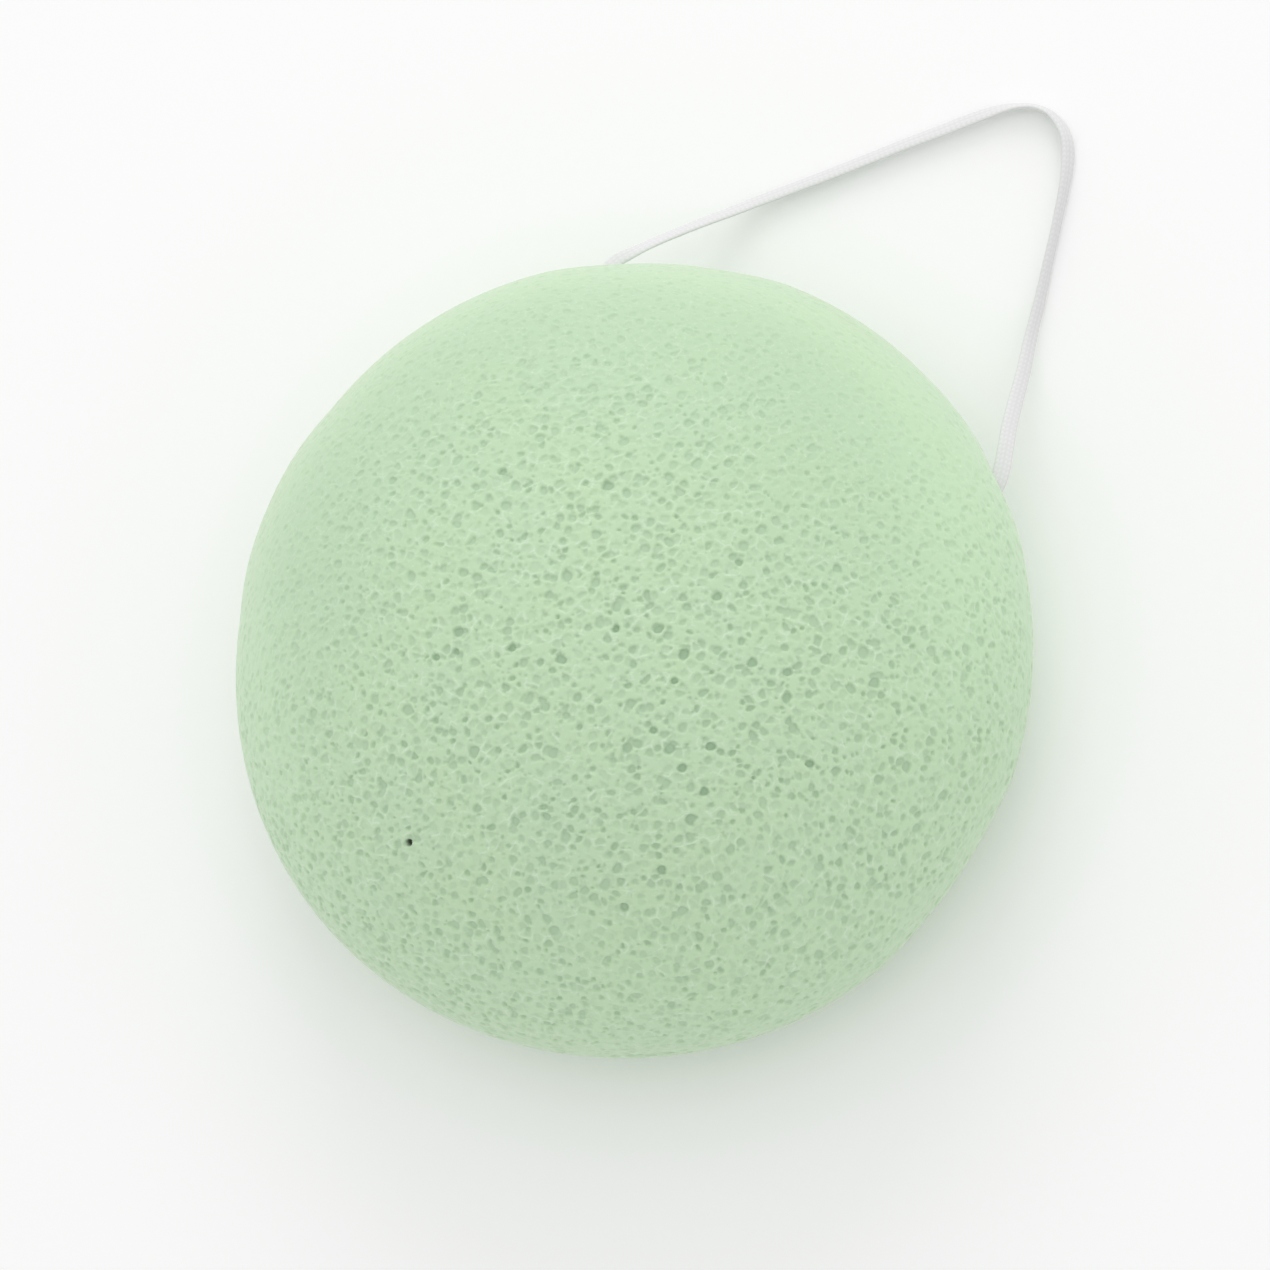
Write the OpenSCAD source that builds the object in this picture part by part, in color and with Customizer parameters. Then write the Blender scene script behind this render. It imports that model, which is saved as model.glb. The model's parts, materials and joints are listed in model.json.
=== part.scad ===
/* [Sponge] */
// Diameter of the sponge at its widest line
rim_d = 80; // [70:1:100]
// Height of the dome above the widest line
dome_rise = 25; // [18:1:34]
// Radius that rounds the sponge's lower edge, and so the height of the widest line
foot_round = 10; // [9:0.5:14]

/* [String] */
// Width of the flat knitted tape
tape_w = 1.7; // [1.2:0.1:2.4]
// Thickness of the tape
tape_t = 0.6; // [0.4:0.1:0.9]
// Distance between the two mouths that the tape leaves the sponge by
mouth_spread = 46; // [40:1:50]
// Height of the mouths above the flat base
mouth_h = 8; // [6:0.5:9]
// How far the tape stands proud of the mouths, where the loop starts to bend
mouth_proud = 1.2; // [0.8:0.1:2]
// Straight stretch of tape on each side of the knot
run_lead = 2.2; // [1:0.2:5]
// Room left round the tape and the knot inside the foam
slit_clear = 0.3; // [0.2:0.05:0.5]

/* [Knot] */
// Size of the knot across its widest way
knot_size = 5.8; // [5.4:0.1:6.6]
// Diameter of the tape where it is rolled up in the knot
knot_strand = 0.9; // [0.6:0.05:1]

/* [Hidden] */

// Colours as the photograph shows them
foam_green = [0.77, 0.88, 0.74];
tape_white = [0.91, 0.91, 0.91];

// Steps along the dome, the rounded foot and the turned slits
dome_steps = 30;
foot_steps = 10;
$fn = 96;

// The slit cuts run this far past the faces that they open
overrun = 4;
// Gap that the loop's end swings past the tape inside with
turn_gap = 0.05;

// Shape of the tape's section: corners as shares of half its width and half its thickness
tape_section_shares = [[1, 0.5], [0.85, 1], [-0.85, 1], [-1, 0.5],
                       [-1, -0.5], [-0.85, -1], [0.85, -1], [1, -0.5]];

// The free loop from the left mouth to the right one. Each row is a place across, a place out from
// the line through both mouths, a height above the base, and how far the tape is turned from flat.
// The first and last rows stand for the mouths, where the tape lies flat.
loop_route = [
    [-22.8, 0.9, 7.9, 18], [-22.4, 1.9, 7.6, 34], [-21.6, 3.6, 6.7, 39], [-20.5, 5.9, 5.2, 40],
    [-19.2, 8.4, 3.6, 39], [-17.8, 10.8, 2.2, 37], [-16.3, 13.1, 1.3, 35], [-14, 16, 0.95, 34],
    [-11.3, 19.2, 0.9, 33], [-8.5, 22.6, 0.9, 33], [-5.9, 25.8, 0.9, 32], [-3.5, 28.6, 0.9, 30],
    [-1.6, 30.9, 0.9, 30], [-0.1, 32.6, 0.9, 36], [1, 33.7, 0.9, 49], [2.2, 34.6, 0.9, 63],
    [3.6, 35.3, 0.9, 69], [5.3, 35.5, 0.9, 67], [6.9, 35, 0.9, 58], [8.2, 34.1, 0.9, 53],
    [9.1, 32.9, 0.9, 52], [10, 31.2, 0.9, 57], [10.9, 29, 0.9, 67], [12.3, 25, 0.9, 72],
    [13.4, 21.7, 0.9, 70], [14.7, 18, 1, 62], [16, 14.3, 1.6, 53], [17.5, 10.8, 2.9, 45],
    [18.8, 7.6, 4.5, 38], [20.1, 4.6, 6.1, 33], [21.2, 2.4, 7.2, 26], [22.2, 1, 7.8, 13]];

// The knot's turns reach this many of its pitches from its middle
knot_reach = 3;
// Shares of the knot's pitch that steer its leads in and out
lead_out_share = 2.5;
lead_side_share = 0.2;
lead_rise_share = 1.6;
lead_soft_share = 0.45;
// Angle where the leads join the turns, and the steps and sides that the knot is drawn with
knot_from = 24;
knot_step = 12;
lead_steps = 8;
knot_sides = 8;
// Finer steps that its least gap is measured with, and how many of them apart two points count
gap_step = 4;
gap_lead_steps = 12;
gap_apart = 10;

// Radii and heights that follow from the sizes above
rim_r = rim_d / 2;
rim_h = foot_round;
surface_r = rim_r - foot_round + sqrt(foot_round * foot_round - (rim_h - mouth_h) * (rim_h - mouth_h));
mouth_x = mouth_spread / 2;

// The line that the loop swings about: it passes through both mouths, just outside the foam
hinge_y = sqrt((surface_r + mouth_proud) * (surface_r + mouth_proud) - mouth_x * mouth_x);

// The tape inside stops short of that line by half the tape's thickness and the gap
run_end_y = hinge_y - tape_t / 2 - turn_gap;
knot_pitch = (knot_size - knot_strand) / 2 / knot_reach;
knot_room = knot_size / 2 + slit_clear;

// The string's way through the foam: straight at the knot, and bent round to both mouths
run_half = knot_room + run_lead;
run_bend = mouth_x - run_half;
run_y = run_end_y - run_bend;

// Points of the sponge's half outline, from the middle of its base up to its top
function sponge_outline() = concat(
    [[0, 0]],
    [for (i = [0 : foot_steps]) let (a = 90 * i / foot_steps - 90)
        [rim_r - foot_round + foot_round * cos(a), rim_h + foot_round * sin(a)]],
    [for (i = [1 : dome_steps]) let (a = 90 * i / dome_steps)
        [rim_r * cos(a), rim_h + dome_rise * sin(a)]]);

// A flat section with half-round edges, lying along X
module flat_section(w, t) {
    square([w - t, t], center = true);
    for (side = [-1, 1]) translate([side * (w - t) / 2, 0]) circle(d = t);
}

// A straight from the knot and a bend round to the mouth, on each side of the knot. extra is added
// all round the tape, and from is where the straights start.
module tape_way(extra, from) {
    for (side = [0, 1]) mirror([side, 0, 0]) {
        translate([from, run_y, mouth_h]) rotate([90, 0, 90])
            linear_extrude(run_half - from) flat_section(tape_w + 2 * extra, tape_t + 2 * extra);
        translate([run_half, run_end_y, mouth_h]) rotate([0, 0, -90])
            rotate_extrude(angle = 90) translate([run_bend, 0])
                flat_section(tape_w + 2 * extra, tape_t + 2 * extra);
    }
}

// Cuts that open the slit to the outside at both mouths
module mouth_cuts() {
    for (side = [-1, 1]) translate([side * mouth_x, run_end_y + overrun, mouth_h]) rotate([90, 0, 0])
        linear_extrude(overrun) flat_section(tape_w + 2 * slit_clear, tape_t + 2 * slit_clear);
}

// The pocket in the foam: round for the knot's turns, with a channel where the string leads through
module knot_pocket() {
    translate([0, run_y, mouth_h - knot_pitch - knot_strand / 2 - slit_clear])
        linear_extrude(2 * (knot_pitch + knot_strand / 2 + slit_clear)) {
            translate([0, -knot_reach * knot_pitch]) circle(knot_room);
            square([2 * knot_room, knot_strand + 2 * slit_clear], center = true);
        }
}

// The half ball of foam, with the slit for the tape and the pocket for the knot
module sponge_body() color(foam_green) difference() {
    rotate_extrude() polygon(sponge_outline());
    tape_way(slit_clear, 0);
    mouth_cuts();
    knot_pocket();
}

// The tape inside the foam, one stretch on each side of the knot
module string_run() color(tape_white) tape_way(0, knot_room);

// Place and heading on the three crossing turns of an overhand knot, which is a trefoil opened where
// the string passes through, for an angle from 0 to 360
function turn_place(a) = let (r = knot_reach - 1 + cos(3 * a))
    knot_pitch * [r * sin(2 * a), r * cos(2 * a) - knot_reach, sin(3 * a)];
function turn_heading(a) = let (r = knot_reach - 1 + cos(3 * a), q = -3 * sin(3 * a))
    knot_pitch * [q * sin(2 * a) + 2 * r * cos(2 * a), q * cos(2 * a) - 2 * r * sin(2 * a), 3 * cos(3 * a)];

// A point on the curve that four points steer
function steered(p, u) = pow(1 - u, 3) * p[0] + 3 * u * pow(1 - u, 2) * p[1]
    + 3 * u * u * (1 - u) * p[2] + pow(u, 3) * p[3];

// The knot's path: a lead in, the turns, and the same lead mirrored out
function knot_path(step, leads) = let (
    lead = [[-knot_room, 0, 0],
            knot_pitch * [-lead_out_share, lead_side_share, lead_rise_share],
            turn_place(knot_from) - lead_soft_share * turn_heading(knot_from),
            turn_place(knot_from)],
    first = [for (i = [0 : leads - 1]) steered(lead, i / leads)],
    turns = [for (a = [knot_from : step : 360 - knot_from]) turn_place(a)],
    last = [for (i = [leads - 1 : -1 : 0]) let (p = steered(lead, i / leads)) [-p.x, p.y, -p.z]])
    concat(first, turns, last);

// The least gap between two stretches of the knot, measured on the points of its path
function knot_gap(path) = min([for (i = [0 : len(path) - 1], j = [i + gap_apart : 1 : len(path) - 1])
    norm(path[i] - path[j])]) - knot_strand;

// The loop's path, from one mouth to the other
function loop_path() = concat(
    [[-mouth_x, 0, mouth_h]],
    [for (row = loop_route) [row[0], row[1], row[2]]],
    [[mouth_x, 0, mouth_h]]);
function loop_turns() = concat([0], [for (row = loop_route) row[3]], [0]);

// Heading of a path at one of its points
function unit(v) = v / norm(v);
function heading(path, i) =
    unit(path[min(i + 1, len(path) - 1)] - path[max(i - 1, 0)]);

// One ring of section points round a path's point. The section's first direction is level, and turn
// rolls it outwards.
function ring(at, along, turn, section) = let (
    side = unit(cross([0, 0, 1], along)),
    up = cross(along, side),
    across = cos(turn) * side - sin(turn) * up,
    face = sin(turn) * side + cos(turn) * up)
    [for (p = section) at + p.x * across + p.y * face];

// A solid swept along a path, with flat ends
module swept(path, headings, turns, section) {
    n = len(section);
    rings = len(path);
    points = [for (i = [0 : rings - 1]) each ring(path[i], headings[i], turns[i], section)];
    sides = [for (i = [0 : rings - 2], j = [0 : n - 1]) let (k = (j + 1) % n, a = i * n, b = a + n)
        each [[a + j, b + k, a + k], [a + j, b + j, b + k]]];
    first = [for (j = [1 : n - 2]) [0, j, j + 1]];
    last = [for (j = [1 : n - 2]) let (a = (rings - 1) * n) [a, a + j + 1, a + j]];
    polyhedron(points, concat(sides, first, last), convexity = 10);
}

// The overhand knot, drawn as the rolled-up tape runs through it
module string_knot() color(tape_white) {
    path = knot_path(knot_step, lead_steps);
    section = [for (j = [0 : knot_sides - 1]) let (a = 360 * (j + 0.5) / knot_sides)
        knot_strand / 2 * [cos(a), sin(a)]];
    echo(knot_least_gap = knot_gap(knot_path(gap_step, gap_lead_steps)));
    translate([0, run_y, mouth_h])
        swept(path, [for (i = [0 : len(path) - 1]) knot_heading(path, i)], [for (p = path) 0], section);
}

// The knot's ends are square to the tape that they meet
function knot_heading(path, i) =
    i == 0 || i == len(path) - 1 ? [1, 0, 0] : heading(path, i);

// The free loop of tape, which lies out on the surface that the sponge stands on
module hanging_loop() color(tape_white) {
    path = loop_path();
    section = [for (p = tape_section_shares) [p.x * tape_w / 2, p.y * tape_t / 2]];
    translate([0, hinge_y, 0])
        swept(path, [for (i = [0 : len(path) - 1]) loop_heading(path, i)], loop_turns(), section);
}

// The tape leaves both mouths square to the line between them
function loop_heading(path, i) =
    i == 0 ? [0, 1, 0] : i == len(path) - 1 ? [0, -1, 0] : heading(path, i);

sponge_body();
string_run();
string_knot();
hanging_loop();
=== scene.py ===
"""A pale green konjac sponge and its knitted hanging tape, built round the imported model.

Lengths are in metres in the part's own frame: +Z is up, the flat base stands on z = 0, and the loop of
tape lies out towards +Y. Foam cells are worked out in millimetres, the unit that they are measured in.
"""

import json
import logging
import math
from dataclasses import dataclass, field
from enum import Enum

import bpy
import numpy as np
from mathutils import Matrix, Vector


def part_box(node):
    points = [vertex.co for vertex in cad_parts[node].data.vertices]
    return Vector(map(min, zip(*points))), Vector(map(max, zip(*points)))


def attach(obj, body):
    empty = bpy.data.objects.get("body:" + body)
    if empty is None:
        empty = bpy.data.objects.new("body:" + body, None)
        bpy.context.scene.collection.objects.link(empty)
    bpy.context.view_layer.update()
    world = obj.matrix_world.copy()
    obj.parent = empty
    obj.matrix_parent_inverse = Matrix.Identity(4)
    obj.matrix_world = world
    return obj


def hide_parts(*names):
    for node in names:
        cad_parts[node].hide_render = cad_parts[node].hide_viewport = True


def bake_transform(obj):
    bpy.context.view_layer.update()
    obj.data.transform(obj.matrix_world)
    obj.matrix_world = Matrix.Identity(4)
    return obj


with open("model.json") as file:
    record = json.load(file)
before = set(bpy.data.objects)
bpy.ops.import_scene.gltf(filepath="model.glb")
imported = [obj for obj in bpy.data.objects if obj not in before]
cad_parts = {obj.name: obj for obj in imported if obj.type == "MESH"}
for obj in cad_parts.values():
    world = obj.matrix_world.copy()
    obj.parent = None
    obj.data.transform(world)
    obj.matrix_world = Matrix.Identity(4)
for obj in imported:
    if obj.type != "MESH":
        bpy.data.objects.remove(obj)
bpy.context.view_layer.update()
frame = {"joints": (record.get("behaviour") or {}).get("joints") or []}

MM = 0.001
UP = np.array([0.0, 0.0, 1.0])
TAPE_WIDTH = 1.7 * MM
FOOT_RADIUS = 10 * MM
HAIR = 1e-9
CURVE_STEPS = 40
NOISE_SPREAD = (0.7, 1.4)
NOISE_LEVEL = 0.7
LOG = logging.getLogger("konjac_sponge")


class Mouth(Enum):
    """The two mouths that the tape leaves the foam by, as the side of the sponge each is on."""

    LEFT = -1
    RIGHT = 1


def smooth_step(low: float, high: float, x: np.ndarray) -> np.ndarray:
    """A step from 0 to 1 that eases in and out as x runs from low to high, which may be below low."""
    t = np.clip((x - low) / (high - low), 0.0, 1.0)
    return t * t * (3.0 - 2.0 * t)


def unit_rows(rows: np.ndarray) -> np.ndarray:
    """Each row divided by its length."""
    return rows / np.linalg.norm(rows, axis=-1, keepdims=True)


def linear(hex_code: str) -> tuple[float, float, float, float]:
    """The linear colour, with an alpha of 1, of an sRGB one given as six hex digits."""
    parts = (int(hex_code[i : i + 2], 16) / 255.0 for i in (0, 2, 4))
    return (*(p / 12.92 if p <= 0.04045 else ((p + 0.055) / 1.055) ** 2.4 for p in parts), 1.0)


def add_node(tree: bpy.types.NodeTree, kind: str, inputs: dict | None = None, **settings) -> bpy.types.Node:
    """Adds a node with its settings, and links or sets its inputs.

    Args:
        tree: The node tree to add to.
        kind: The node's type, as Blender names it.
        inputs: Input name or number to a socket to link from, or a value to set.
        **settings: The node's own properties.

    Returns:
        The new node.
    """
    node = tree.nodes.new(kind)
    for name, value in settings.items():
        setattr(node, name, value)
    for key, value in (inputs or {}).items():
        if isinstance(value, bpy.types.NodeSocket):
            tree.links.new(value, node.inputs[key])
        else:
            node.inputs[key].default_value = value
    return node


def empty_tree(owner: bpy.types.Material | bpy.types.World) -> bpy.types.NodeTree:
    """Turns on a material's or a world's nodes, and takes out the ones that Blender put in."""
    owner.use_nodes = True
    owner.node_tree.nodes.clear()
    return owner.node_tree


def put(name: str, data: bpy.types.ID) -> bpy.types.Object:
    """Makes an object of some data and links it to the scene."""
    made = bpy.data.objects.new(name, data)
    bpy.context.scene.collection.objects.link(made)
    return made


def mesh_piece(name: str, points: np.ndarray, face_groups: list[np.ndarray]) -> bpy.types.Object:
    """Makes a smooth-shaded mesh piece from whole arrays.

    Args:
        name: The piece's name.
        points: Its vertices, one row each.
        face_groups: Arrays of faces, each with one row of vertex numbers per face.

    Returns:
        The new object, linked to the scene.
    """
    corners = np.concatenate([faces.ravel() for faces in face_groups])
    sizes = np.concatenate([np.full(len(faces), faces.shape[1]) for faces in face_groups])
    mesh = bpy.data.meshes.new(name)
    mesh.vertices.add(len(points))
    mesh.vertices.foreach_set("co", points.astype(np.float32).ravel())
    mesh.loops.add(len(corners))
    mesh.loops.foreach_set("vertex_index", corners.astype(np.int32))
    mesh.polygons.add(len(sizes))
    mesh.polygons.foreach_set("loop_start", np.concatenate([[0], np.cumsum(sizes)[:-1]]).astype(np.int32))
    mesh.update(calc_edges=True)
    mesh.shade_smooth()
    return put(name, mesh)


def store(piece: bpy.types.Object, name: str, values: np.ndarray) -> None:
    """Keeps one number for each vertex as an attribute that materials read."""
    attribute = piece.data.attributes.new(name, "FLOAT", "POINT")
    attribute.data.foreach_set("value", values.astype(np.float32))


@dataclass(frozen=True)
class KonjacFoam:
    """Konjac root foam, set in a mould, freeze-dried and wetted again: a soft plant gel.

    The eye gets a matte pale green with thin lighter walls between the cells, and light that spreads a little
    way through the gel. Its colour also holds painted shade, darker inside the open cells, the slits and the
    one pinhole and on the side facing the lamp, painted light on the other sides, and a painted highlight of
    faint glints.
    """

    skin: str = "C4DFBF"
    skin_warm: str = "C8E1B9"
    # Painted shade: a darker skin for the side that faces the lamp.
    painted_lamp_side_shade_skin: str = "BAD6B4"
    # Painted light: a lighter skin for the sides away from the lamp.
    painted_light_skin: str = "C9E6C0"
    wall: str = "D4EBCE"
    # Painted highlight: pale glints where the fine grain noise runs high.
    painted_glint: str = "E0F2DB"
    # cell and deep are painted shade: darker greens that grow with depth in the pores and in the slits.
    cell: str = "B3CEAE"
    deep: str = "A6C2A2"
    # Painted shade: the near-black inside of the one deep pinhole.
    painted_shade_pinhole: str = "2E3A24"
    ior: float = 1.36
    roughness: tuple[float, float] = (0.46, 0.70)
    grain_mm: float = 0.28
    drift_mm: float = 9.0
    painted_glinting: tuple[float, float] = (0.60, 0.78)
    painted_glint_share: float = 0.5
    cell_depth: float = 0.35

    def material(self) -> bpy.types.Material:
        """Builds the material, which reads cell_depth, cell_wall, calm, pale and speck. cell_depth, calm and
        speck steer painted shade into the colour, and pale painted light.

        Returns:
            The node material.
        """
        made = bpy.data.materials.new("konjac_foam")
        tree = empty_tree(made)
        place = add_node(tree, "ShaderNodeTexCoord").outputs["Object"]
        grain, drift = (
            add_node(tree, "ShaderNodeTexNoise",
                     {"Vector": place, "Scale": 1.0 / (size * MM), "Detail": detail}).outputs["Fac"]
            for size, detail in ((self.grain_mm, 2.0), (self.drift_mm, 3.0)))
        depth, wall, painted_lamp_side_shade, pale, painted_shade_pinhole = (
            add_node(tree, "ShaderNodeAttribute", attribute_name=name).outputs["Fac"]
            for name in ("cell_depth", "cell_wall", "painted_lamp_side_shade", "pale", "painted_shade_pinhole"))
        dry, painted_glinting, shallow, deep_painted_shade = (
            add_node(tree, "ShaderNodeMapRange", {"Value": value, "From Min": start, "From Max": end,
                                                  "To Min": low, "To Max": high}).outputs["Result"]
            for value, start, end, low, high in (
                (grain, 0.0, 1.0, *self.roughness), (grain, *self.painted_glinting, 0.0, self.painted_glint_share),
                (depth, 0.0, self.cell_depth, 0.0, 1.0), (depth, self.cell_depth, 1.0, 0.0, 1.0)))
        colour = linear(self.skin)
        # Mixed over the skin: painted shade on the lamp's side, painted light on the other sides, the lighter
        # walls, a painted highlight, painted shade in the pores and slits, darker the deeper, and painted
        # shade in the one pinhole.
        for share, over in ((drift, self.skin_warm), (painted_lamp_side_shade, self.painted_lamp_side_shade_skin), (pale, self.painted_light_skin),
                            (wall, self.wall), (painted_glinting, self.painted_glint), (shallow, self.cell),
                            (deep_painted_shade, self.deep), (painted_shade_pinhole, self.painted_shade_pinhole)):
            colour = add_node(tree, "ShaderNodeMix", {"Factor": share, 6: colour, 7: linear(over)},
                              data_type="RGBA").outputs[2]
        bump = add_node(tree, "ShaderNodeBump", {"Height": grain, "Strength": 0.35, "Distance": 0.04 * MM})
        shader = add_node(tree, "ShaderNodeBsdfPrincipled",
                          {"Base Color": colour, "Roughness": dry,
                           "Normal": bump.outputs["Normal"], "IOR": self.ior,
                           "Subsurface Weight": 0.25, "Subsurface Scale": 0.6 * MM,
                           "Subsurface Radius": (0.9, 1.0, 0.8), "Sheen Weight": 0.3,
                           "Sheen Roughness": 0.5})
        add_node(tree, "ShaderNodeOutputMaterial", {"Surface": shader.outputs["BSDF"]})
        return made


@dataclass(frozen=True)
class KnittedTape:
    """Flat warp-knitted polyester tape, soft and undyed: white, matte, with rows of small stitches.

    The eye gets a light grey-white band with fine grooves between its stitches, darkened with painted shade,
    and a fibre fuzz.
    """

    yarn: str = "ECECEC"
    # Painted shade for the grooves between stitches.
    groove: str = "E0E0E0"
    ior: float = 1.5
    roughness: tuple[float, float] = (0.75, 0.95)
    fibre_mm: float = 0.05

    def material(self) -> bpy.types.Material:
        """Builds the material, which reads the stitch attribute and paints shade where the stitches dip, in
        the grooves.

        Returns:
            The node material.
        """
        made = bpy.data.materials.new("knitted_tape")
        tree = empty_tree(made)
        place = add_node(tree, "ShaderNodeTexCoord").outputs["Object"]
        stitch = add_node(tree, "ShaderNodeAttribute", attribute_name="stitch").outputs["Fac"]
        fibre = add_node(tree, "ShaderNodeTexNoise", {"Vector": place, "Scale": 1.0 / (self.fibre_mm * MM),
                                                      "Detail": 2.0}).outputs["Fac"]
        # Painted shade: the colour darkens where the stitch relief is low.
        colour = add_node(tree, "ShaderNodeMix",
                          {"Factor": stitch, 6: linear(self.groove), 7: linear(self.yarn)}, data_type="RGBA")
        bump = add_node(tree, "ShaderNodeBump", {"Height": fibre, "Strength": 0.4, "Distance": 0.02 * MM})
        least, most = self.roughness
        worn = add_node(tree, "ShaderNodeMapRange", {"Value": fibre, "To Min": least, "To Max": most})
        shader = add_node(tree, "ShaderNodeBsdfPrincipled",
                          {"Base Color": colour.outputs[2], "Roughness": worn.outputs["Result"],
                           "Normal": bump.outputs["Normal"], "IOR": self.ior, "Sheen Weight": 0.15})
        add_node(tree, "ShaderNodeOutputMaterial", {"Surface": shader.outputs["BSDF"]})
        return made


@dataclass
class Studio:
    """The camera where the photograph was taken from, a pale floor, one soft lamp and a white world."""

    azimuth: float = math.radians(-14.48)
    elevation: float = math.radians(72.3)
    roll: float = math.radians(-45.0)
    distance: float = 0.550
    target: tuple[float, float, float] = (0.0, 0.0, 0.012)
    shown_right: float = 0.89 * MM
    shown_up: float = 1.64 * MM
    lens_mm: float = 158.6
    clip: tuple[float, float] = (0.01, 20.0)
    floor_width: float = 6.0
    floor_drop: float = 0.02 * MM
    floor_lit: str = "F8F8F8"
    floor_seen: str = "FFFFFF"
    lamp_azimuth: float = math.radians(121.0)
    lamp_elevation: float = math.radians(27.0)
    lamp_distance: float = 1.2
    lamp_width: float = 0.7
    lamp_power: float = 2.4
    world_strength: float = 0.83
    world_slope: float = 0.19
    right: np.ndarray = field(init=False)
    up: np.ndarray = field(init=False)
    back: np.ndarray = field(init=False)
    eye: np.ndarray = field(init=False)

    def __post_init__(self) -> None:
        """Works out the camera's own axes: a level camera at the azimuth and elevation, then rolled."""
        self.back = self.direction(self.azimuth, self.elevation)
        level = np.array([-math.sin(self.azimuth), math.cos(self.azimuth), 0.0])
        rise = np.cross(self.back, level)
        self.right = math.cos(self.roll) * level + math.sin(self.roll) * rise
        self.up = math.cos(self.roll) * rise - math.sin(self.roll) * level
        aim = np.array(self.target) + self.shown_right * self.right + self.shown_up * self.up
        self.eye = aim + self.distance * self.back

    @staticmethod
    def direction(azimuth: float, elevation: float) -> np.ndarray:
        """The unit vector towards an azimuth from +X and an elevation."""
        flat = math.cos(elevation)
        return np.array([flat * math.cos(azimuth), flat * math.sin(azimuth), math.sin(elevation)])

    def build(self) -> None:
        """Makes the camera, the lamp, the world and the floor."""
        self.place_camera()
        self.place_lamp()
        self.light_world()
        self.lay_floor()
        bpy.context.scene.view_settings.view_transform = "Standard"

    def place_camera(self) -> None:
        """Sets the camera's lens and its turned axes, whose columns are right, up and back."""
        data = bpy.data.cameras.new("camera")
        data.lens = self.lens_mm
        data.clip_start, data.clip_end = self.clip
        camera = put("camera", data)
        turned = Matrix(np.column_stack([self.right, self.up, self.back]).tolist()).to_4x4()
        camera.matrix_world = Matrix.Translation(Vector(self.eye)) @ turned
        bpy.context.scene.camera = camera

    def place_lamp(self) -> None:
        """Sets one wide soft lamp, which shines from the top of the photograph."""
        data = bpy.data.lights.new("soft_lamp", "AREA")
        data.shape = "DISK"
        data.size = self.lamp_width
        data.energy = self.lamp_power
        lamp = put("soft_lamp", data)
        towards = Vector(self.direction(self.lamp_azimuth, self.lamp_elevation))
        lamp.location = towards * self.lamp_distance
        lamp.rotation_euler = towards.to_track_quat("Z", "Y").to_euler()

    def light_world(self) -> None:
        """Gives light from all round, and plain white where the camera or glass looks past the floor.

        The light's strength at a direction is world_strength, plus world_slope times that direction's
        cosine with the lamp's.
        """
        world = bpy.data.worlds.new("white_room")
        bpy.context.scene.world = world
        tree = empty_tree(world)
        rays = add_node(tree, "ShaderNodeLightPath").outputs
        seen = rays["Is Camera Ray"]
        for ray in ("Is Glossy Ray", "Is Transmission Ray"):
            seen = add_node(tree, "ShaderNodeMath", {0: seen, 1: rays[ray]}, operation="MAXIMUM").outputs[0]
        facing = add_node(tree, "ShaderNodeVectorMath",
                          {0: add_node(tree, "ShaderNodeTexCoord").outputs["Generated"],
                           1: self.direction(self.lamp_azimuth, self.lamp_elevation)},
                          operation="DOT_PRODUCT")
        glow = add_node(tree, "ShaderNodeMath", {0: facing.outputs["Value"], 1: self.world_slope,
                                                 2: self.world_strength}, operation="MULTIPLY_ADD")
        light, white = (add_node(tree, "ShaderNodeBackground", {"Color": linear("FFFFFF"), "Strength": power})
                        for power in (glow.outputs[0], 1.0))
        mixed = add_node(tree, "ShaderNodeMixShader", {0: seen, 1: light.outputs[0], 2: white.outputs[0]})
        add_node(tree, "ShaderNodeOutputWorld", {"Surface": mixed.outputs[0]})

    def lay_floor(self) -> None:
        """Lays a matte white floor, a hair below the base, that keeps the object's shadow."""
        half = self.floor_width / 2
        corners = np.array([[-half, -half], [half, -half], [half, half], [-half, half]])
        points = np.column_stack([corners, np.full(4, -self.floor_drop)])
        floor = mesh_piece("floor", points, [np.array([[0, 1, 2, 3]])])
        made = bpy.data.materials.new("matte_paper")
        tree = empty_tree(made)
        seen = add_node(tree, "ShaderNodeLightPath").outputs["Is Camera Ray"]
        colour = add_node(tree, "ShaderNodeMix",
                          {"Factor": seen, 6: linear(self.floor_lit), 7: linear(self.floor_seen)},
                          data_type="RGBA")
        shader = add_node(tree, "ShaderNodeBsdfDiffuse", {"Color": colour.outputs[2]})
        add_node(tree, "ShaderNodeOutputMaterial", {"Surface": shader.outputs[0]})
        floor.data.materials.append(made)


@dataclass(frozen=True)
class Seat:
    """Where the tape comes out through the skin.

    Attributes:
        place: A point on the tape's centreline.
        along, across, face: Its outward heading, and the directions of its width and thickness.
    """

    place: np.ndarray
    along: np.ndarray
    across: np.ndarray
    face: np.ndarray


@dataclass(frozen=True)
class Mark:
    """One pore on the dome, in millimetres.

    Attributes:
        x, y: Its place from above, to the right of the middle and towards the mouths.
        width, depth: How wide and how deep it is.
    """

    x: float
    y: float
    width: float
    depth: float


@dataclass(frozen=True)
class CellHit:
    """What a layer of cells says at each point, in millimetres.

    Attributes:
        wall, middle: Distances to the nearest wall between two cells and to the cell's own seed.
        fate: Two random shares for the cell, one column each.
    """

    wall: np.ndarray
    middle: np.ndarray
    fate: np.ndarray


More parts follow.
